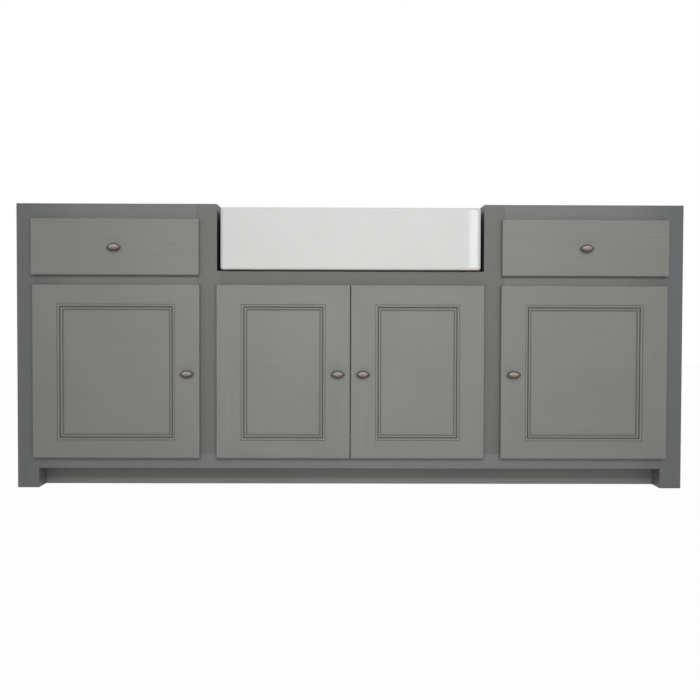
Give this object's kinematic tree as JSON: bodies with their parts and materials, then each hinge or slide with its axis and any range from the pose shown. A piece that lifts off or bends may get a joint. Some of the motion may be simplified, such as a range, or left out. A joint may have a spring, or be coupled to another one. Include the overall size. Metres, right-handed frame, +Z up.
{
  "type": "kitchen sink cabinet",
  "caption": "Painted face-frame kitchen base cabinet with an apron sink in the middle, a pair of doors under it, and a drawer over a door on each side.",
  "frame": {"origin": "on the floor, in the middle of the box that the cabinet with its knobs fills", "axes": "+X to the right seen from the front, +Y to the wall behind, +Z up"},
  "size_m": [2.04, 0.6206, 0.87],
  "materials": {
    "front_paint": "eggshell grey paint on timber",
    "frame_paint": "eggshell grey paint on timber",
    "carcass_board": "lacquered birch-faced board",
    "drawer_oak": "oiled oak",
    "ceramic": "glazed white fireclay",
    "pewter": "antique pewter",
    "hinge_steel": "nickel-plated steel",
    "runner_steel": "zinc-plated steel",
    "pin_steel": "nickel-plated steel",
    "bumper_rubber": "clear soft pad"
  },
  "bodies": {
    "carcass": {"back_panels": "carcass_board", "base_panel": "carcass_board", "bottom_rail": "frame_paint", "door_bumpers": "bumper_rubber", "end_panel_left": "frame_paint", "end_panel_right": "frame_paint", "end_stile_left": "frame_paint", "end_stile_right": "frame_paint", "foot_blocks": "frame_paint", "hinge_arms": "hinge_steel", "inner_stile_left": "frame_paint", "inner_stile_right": "frame_paint", "middle_rails": "frame_paint", "partition_left": "carcass_board", "partition_right": "carcass_board", "plinth_board": "frame_paint", "rear_rails": "carcass_board", "runner_outer_members": "runner_steel", "runner_packers": "carcass_board", "service_back_panel": "carcass_board", "shelf_pins": "pin_steel", "shelves": "carcass_board", "sink": "ceramic", "sink_bearers": "carcass_board", "sink_cheeks": "frame_paint", "sink_rail": "frame_paint", "top_rails": "frame_paint", "worktop_stretchers": "carcass_board"},
    "left_door": {"left_door_frame": "front_paint", "left_door_hinge_cups": "hinge_steel", "left_door_knob": "pewter", "left_door_moulding": "front_paint", "left_door_panel": "front_paint"},
    "centre_left_door": {"centre_left_door_frame": "front_paint", "centre_left_door_hinge_cups": "hinge_steel", "centre_left_door_knob": "pewter", "centre_left_door_moulding": "front_paint", "centre_left_door_panel": "front_paint"},
    "centre_right_door": {"centre_right_door_frame": "front_paint", "centre_right_door_hinge_cups": "hinge_steel", "centre_right_door_knob": "pewter", "centre_right_door_moulding": "front_paint", "centre_right_door_panel": "front_paint"},
    "right_door": {"right_door_frame": "front_paint", "right_door_hinge_cups": "hinge_steel", "right_door_knob": "pewter", "right_door_moulding": "front_paint", "right_door_panel": "front_paint"},
    "left_middle_members": {"left_drawer_middle_runners": "runner_steel"},
    "left_drawer": {"left_drawer_bottom": "carcass_board", "left_drawer_box": "drawer_oak", "left_drawer_front": "front_paint", "left_drawer_inner_runners": "runner_steel", "left_drawer_knob": "pewter"},
    "right_middle_members": {"right_drawer_middle_runners": "runner_steel"},
    "right_drawer": {"right_drawer_bottom": "carcass_board", "right_drawer_box": "drawer_oak", "right_drawer_front": "front_paint", "right_drawer_inner_runners": "runner_steel", "right_drawer_knob": "pewter"}
  },
  "joints": [
    {"name": "left_door_hinge", "type": "hinge", "parent": "carcass", "child": "left_door", "pos_m": [-0.9595, -0.27075, 0.3585], "axis": [0, 0, -1], "range_deg": [0, 100]},
    {"name": "centre_left_door_hinge", "type": "hinge", "parent": "carcass", "child": "centre_left_door", "pos_m": [-0.4002, -0.27075, 0.3585], "axis": [0, 0, -1], "range_deg": [0, 100]},
    {"name": "centre_right_door_hinge", "type": "hinge", "parent": "carcass", "child": "centre_right_door", "pos_m": [0.4002, -0.27075, 0.3585], "axis": [0, 0, 1], "range_deg": [0, 100]},
    {"name": "right_door_hinge", "type": "hinge", "parent": "carcass", "child": "right_door", "pos_m": [0.9595, -0.27075, 0.3585], "axis": [0, 0, 1], "range_deg": [0, 100]},
    {"name": "left_drawer_slide", "type": "slide", "parent": "carcass", "child": "left_drawer", "axis": [0, -1, 0], "range_m": [0, 0.4]},
    {"name": "left_middle_slide", "type": "slide", "parent": "carcass", "child": "left_middle_members", "axis": [0, -1, 0], "range_m": [0, 0.2]},
    {"name": "right_drawer_slide", "type": "slide", "parent": "carcass", "child": "right_drawer", "axis": [0, -1, 0], "range_m": [0, 0.4]},
    {"name": "right_middle_slide", "type": "slide", "parent": "carcass", "child": "right_middle_members", "axis": [0, -1, 0], "range_m": [0, 0.2]}
  ],
  "couplings": [
    {"joint": "left_middle_slide", "follows": "left_drawer_slide", "ratio": 0.5},
    {"joint": "right_middle_slide", "follows": "right_drawer_slide", "ratio": 0.5}
  ]
}
